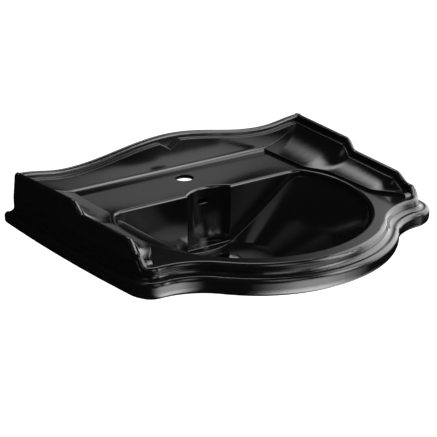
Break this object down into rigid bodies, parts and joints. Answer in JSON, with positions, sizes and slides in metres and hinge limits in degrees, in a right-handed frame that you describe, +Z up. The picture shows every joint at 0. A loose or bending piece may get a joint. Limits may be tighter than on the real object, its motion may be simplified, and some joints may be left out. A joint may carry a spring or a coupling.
{
  "type": "pedestal sink basin",
  "caption": "Black glazed Victorian-style basin with a serpentine moulded front, stepped side wings, a scalloped upstand and a click-clack waste.",
  "frame": {"origin": "centre of the back face at the height of the deck", "axes": "+X to the right as seen from the front, +Y towards the wall, +Z up"},
  "size_m": [0.687, 0.543, 0.25],
  "materials": {
    "black_glaze": "gloss black glaze on vitreous china",
    "chrome": "polished chrome on brass",
    "brass": "turned brass",
    "rubber": "moulded matte",
    "nylon": "natural",
    "spring_steel": "drawn wire"
  },
  "bodies": {
    "basin_set": {"basin": "black_glaze", "waste_body": "chrome", "flange_seal": "rubber", "lower_seal": "rubber", "friction_washer": "nylon", "backnut": "brass", "cartridge_sleeve": "brass", "cartridge_end": "brass", "cartridge_nut": "brass", "return_spring": "spring_steel"},
    "plug": {"plunger": "chrome", "plug_cap": "chrome", "plug_seal": "rubber", "plug_washer": "brass"}
  },
  "joints": [
    {"name": "plug_slide", "type": "slide", "parent": "basin_set", "child": "plug", "axis": [0, 0, 1], "range_m": [-0.008, 0], "stiffness_N_per_m": 400, "springref_m": 0.006, "deforming": ["return_spring"]}
  ]
}
